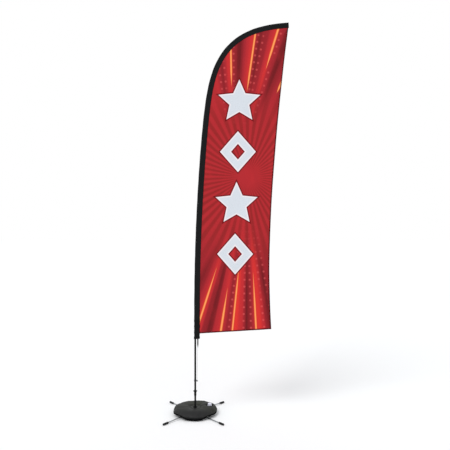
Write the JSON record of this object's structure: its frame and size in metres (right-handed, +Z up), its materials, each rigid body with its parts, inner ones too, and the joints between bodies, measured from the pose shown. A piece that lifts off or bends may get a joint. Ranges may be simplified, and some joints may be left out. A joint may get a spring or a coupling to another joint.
{
  "type": "feather flag with pole",
  "caption": "Tall curved feather banner on a bent sectional pole that turns on a folding cross base, held down by a water-filled ring.",
  "frame": {"origin": "on the pole's upright axis, at the floor, at the middle of the hub's rubber pad", "axes": "+Z up, +X towards the side the flag flies to, +Y away from the flag's front face"},
  "size_m": [1.3684, 0.691, 4.3644],
  "materials": {
    "chromed_steel": "bright chrome plate",
    "plain_steel": "bare steel",
    "black_paint": "satin black powder coat",
    "black_anodised": "satin black anodised tube",
    "black_fibreglass": "pultruded rod, satin",
    "black_rubber": "matte",
    "white_nylon": "matte",
    "black_plastic": "moulded, satin",
    "black_pvc": "soft coated sheet filled with water, satin",
    "white_plastic": "moulded, satin",
    "black_cloth": "heavy woven polyester",
    "printed_cloth": "knitted flag polyester, dye printed",
    "grey_elastic": "braided elastic cord"
  },
  "bodies": {
    "stand": {"hub_upper": "black_paint", "leg_rod_upper_right": "chromed_steel", "leg_rod_upper_left": "chromed_steel", "leg_boot_upper_right": "black_rubber", "leg_boot_upper_left": "black_rubber", "leg_screw_upper_right": "plain_steel", "leg_screw_upper_left": "plain_steel", "pivot_washer": "white_nylon", "pivot_bolt": "plain_steel", "pivot_nut": "plain_steel", "stem_tube": "black_paint", "bearing_housing": "black_paint", "spindle_bush": "white_nylon", "bearing_outer_race": "plain_steel", "dust_seal": "black_rubber"},
    "lower_cross": {"hub_lower": "black_paint", "hub_pad": "black_rubber", "leg_rod_lower_right": "chromed_steel", "leg_rod_lower_left": "chromed_steel", "leg_boot_lower_right": "black_rubber", "leg_boot_lower_left": "black_rubber", "leg_screw_lower_right": "plain_steel", "leg_screw_lower_left": "plain_steel"},
    "spindle": {"spindle": "black_paint", "bearing_inner_race": "plain_steel", "ball_cage": "black_plastic", "spindle_circlip": "plain_steel", "grip_ring_lower": "black_rubber", "grip_ring_upper": "black_rubber"},
    "pole": {"pole_foot_bush": "black_plastic", "pole_section_1": "black_anodised", "pole_section_2": "black_anodised", "pole_section_3": "black_fibreglass", "pole_section_4": "black_fibreglass", "pole_spigot": "plain_steel", "pole_stop_ring_1": "black_plastic", "pole_stop_ring_2": "black_plastic", "pole_stop_ring_3": "black_plastic", "pole_tip_cap": "black_plastic", "hook_clamp": "black_plastic", "clamp_screw": "plain_steel", "pole_sleeve": "black_cloth", "sleeve_cuff": "black_cloth", "sleeve_tip_pocket": "black_cloth", "sleeve_tab": "black_cloth", "flag_panel": "printed_cloth", "bungee_cord": "grey_elastic"},
    "tension_ball": {"tension_ball": "black_plastic"},
    "water_bag": {"weight_bag": "black_pvc", "bag_collar": "black_plastic", "filler_flange": "white_plastic", "filler_neck": "white_plastic", "closing_strap": "black_plastic", "strap_stud": "black_paint"},
    "gasket": {"cap_gasket": "black_rubber"},
    "cap": {"filler_cap": "white_plastic"}
  },
  "joints": [
    {"name": "cross_fold", "type": "hinge", "parent": "stand", "child": "lower_cross", "pos_m": [0, 0, 0.011], "axis": [0, 0, 1], "range_deg": [0, 84]},
    {"name": "spindle_turn", "type": "hinge", "parent": "stand", "child": "spindle", "pos_m": [0, 0, 0.2356], "axis": [0, 0, 1], "continuous": true},
    {"name": "pole_lift", "type": "slide", "parent": "spindle", "child": "pole", "axis": [0, 0, 1], "range_m": [0, 0.125]},
    {"name": "hook_pull", "type": "slide", "parent": "pole", "child": "tension_ball", "axis": [0, 0, -1], "range_m": [0, 0.02], "stiffness_N_per_m": 150, "springref_m": -0.05, "deforming": ["bungee_cord"]},
    {"name": "bag_lift", "type": "slide", "parent": "stand", "child": "water_bag", "axis": [0, 0, 1], "range_m": [0, 0.25]},
    {"name": "cap_lift", "type": "slide", "parent": "water_bag", "child": "gasket", "axis": [0, 0, 1], "range_m": [0, 0.018]},
    {"name": "cap_turn", "type": "hinge", "parent": "gasket", "child": "cap", "pos_m": [0.16, 0.036, 0.092], "axis": [0, 0, 1], "range_deg": [0, 1080]}
  ],
  "couplings": [
    {"joint": "cap_turn", "follows": "cap_lift", "rad_per_m": 1047.2}
  ]
}
